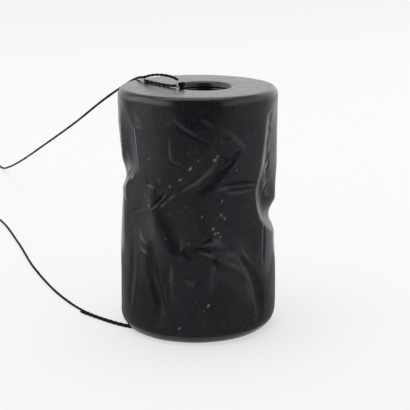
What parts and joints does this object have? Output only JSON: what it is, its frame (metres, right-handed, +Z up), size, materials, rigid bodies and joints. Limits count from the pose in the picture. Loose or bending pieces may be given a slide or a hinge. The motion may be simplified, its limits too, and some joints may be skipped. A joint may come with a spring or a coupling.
{
  "type": "cylinder seal",
  "caption": "Ancient cylinder seal of dark polished stone, cut all round with deep worn intaglio figures, bored through and strung on a fine black thread",
  "frame": {"origin": "the middle of the seal's flat foot, on the surface it stands on", "axes": "+Z up along the seal's length, -Y toward the carved side shown, +X to that side's right; the thread lies off toward -X and +Y"},
  "size_m": [0.0752, 0.1252, 0.0376],
  "materials": {
    "seal_stone": "satin polished, worn",
    "thread": "twisted two-ply cotton"
  },
  "bodies": {
    "root": {"seal": "seal_stone", "thread_ring": "thread", "thread_eye": "thread", "thread_tail": "thread", "thread_knot": "thread"}
  },
  "joints": []
}
